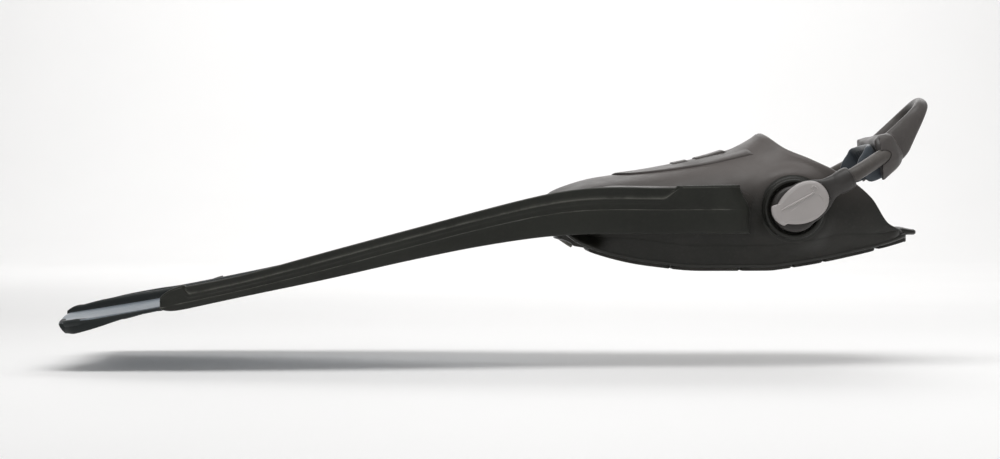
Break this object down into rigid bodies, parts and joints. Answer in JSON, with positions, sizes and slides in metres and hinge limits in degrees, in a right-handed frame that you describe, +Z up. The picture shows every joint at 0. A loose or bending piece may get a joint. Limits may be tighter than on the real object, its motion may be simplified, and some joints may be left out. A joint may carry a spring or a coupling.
{
  "type": "open-heel diving fin",
  "caption": "Open-heel diving fin: stiffened blade, rubber foot pocket, and a swinging elastic cord strap with quick-release buckles, heel pad and pull loop.",
  "frame": {"origin": "middle of the flat part of the sole, on the tread pads' lower face, in the fin's plane of symmetry", "axes": "+X towards the heel (blade and toe towards -X), +Z up, away from the sole, +Y to the right side"},
  "size_m": [0.6254, 0.202, 0.1697],
  "materials": {
    "blade_panel": "smooth, slightly glossy blue-grey technopolymer",
    "blade_rubber": "matt black-green rubber",
    "rail_rubber": "matt greenish-grey rubber, fine grain",
    "sole_plastic": "matt black plastic",
    "pocket_rubber": "soft brownish-grey rubber, silky sheen",
    "panel_rubber": "soft grey rubber",
    "tread_rubber": "matt black rubber",
    "vent_plastic": "matt grey plastic",
    "seat_plastic": "matt black plastic",
    "post_plastic": "moulded black plastic",
    "screw_steel": "stainless steel",
    "arm_plastic": "fine-grained black plastic",
    "cap_silver": "satin silver-grey plastic",
    "pin_steel": "stainless steel",
    "spring_steel": "spring steel",
    "latch_steel": "stamped stainless steel",
    "ferrule_steel": "crimped stainless steel",
    "cord_rubber": "satin warm-grey rubber",
    "pad_rubber": "satin warm-grey rubber",
    "liner_rubber": "smooth blue-grey rubber"
  },
  "bodies": {
    "fin": {"blade_web": "blade_panel", "flex_rib_left": "blade_rubber", "flex_rib_right": "blade_rubber", "edge_keel_left": "blade_rubber", "edge_keel_right": "blade_rubber", "side_rail_left": "rail_rubber", "side_rail_right": "rail_rubber", "sole_plate": "sole_plastic", "foot_pocket": "pocket_rubber", "instep_panel": "panel_rubber", "instep_ribs": "panel_rubber", "toe_vent": "vent_plastic", "tread_toe": "tread_rubber", "tread_ball": "tread_rubber", "tread_arch": "tread_rubber", "tread_heel": "tread_rubber", "heel_tab": "sole_plastic", "heel_bumper": "tread_rubber", "buckle_seat_left": "seat_plastic", "buckle_seat_right": "seat_plastic", "strap_post_left": "post_plastic", "strap_post_right": "post_plastic", "post_screw_left": "screw_steel", "post_screw_right": "screw_steel"},
    "strap": {"buckle_arm_left": "arm_plastic", "buckle_arm_right": "arm_plastic", "cap_hinge_pin_left": "pin_steel", "cap_hinge_pin_right": "pin_steel", "cap_spring_left": "spring_steel", "cap_spring_right": "spring_steel", "cord_ferrule_left": "ferrule_steel", "cord_ferrule_right": "ferrule_steel", "elastic_cord_left": "cord_rubber", "elastic_cord_right": "cord_rubber"},
    "cap_left": {"release_cap_left": "cap_silver"},
    "cap_right": {"release_cap_right": "cap_silver"},
    "latch_left": {"latch_plate_left": "latch_steel"},
    "latch_right": {"latch_plate_right": "latch_steel"},
    "heel": {"elastic_cord_middle": "cord_rubber", "heel_pad": "pad_rubber", "heel_liner": "liner_rubber", "pull_loop": "pad_rubber"}
  },
  "joints": [
    {"name": "strap_swing", "type": "hinge", "parent": "fin", "child": "strap", "pos_m": [0.0395, 0, 0.045], "axis": [0, 1, 0], "range_deg": [-80, 10]},
    {"name": "strap_stretch", "type": "slide", "parent": "strap", "child": "heel", "axis": [0.866, 0, 0.5], "range_m": [0, 0.04]},
    {"name": "cap_lift_left", "type": "hinge", "parent": "strap", "child": "cap_left", "pos_m": [0.05942, -0.0658, 0.0565], "axis": [-0.5, 0, 0.866], "range_deg": [0, 22]},
    {"name": "cap_lift_right", "type": "hinge", "parent": "strap", "child": "cap_right", "pos_m": [0.05942, 0.0658, 0.0565], "axis": [0.5, 0, -0.866], "range_deg": [0, 22]},
    {"name": "latch_slide_left", "type": "slide", "parent": "strap", "child": "latch_left", "axis": [0.866, 0, 0.5], "range_m": [0, 0.0031]},
    {"name": "latch_slide_right", "type": "slide", "parent": "strap", "child": "latch_right", "axis": [0.866, 0, 0.5], "range_m": [0, 0.0031]}
  ],
  "couplings": [
    {"joint": "latch_slide_left", "follows": "cap_lift_left", "m_per_rad": 0.007813},
    {"joint": "latch_slide_right", "follows": "cap_lift_right", "m_per_rad": 0.007813}
  ]
}
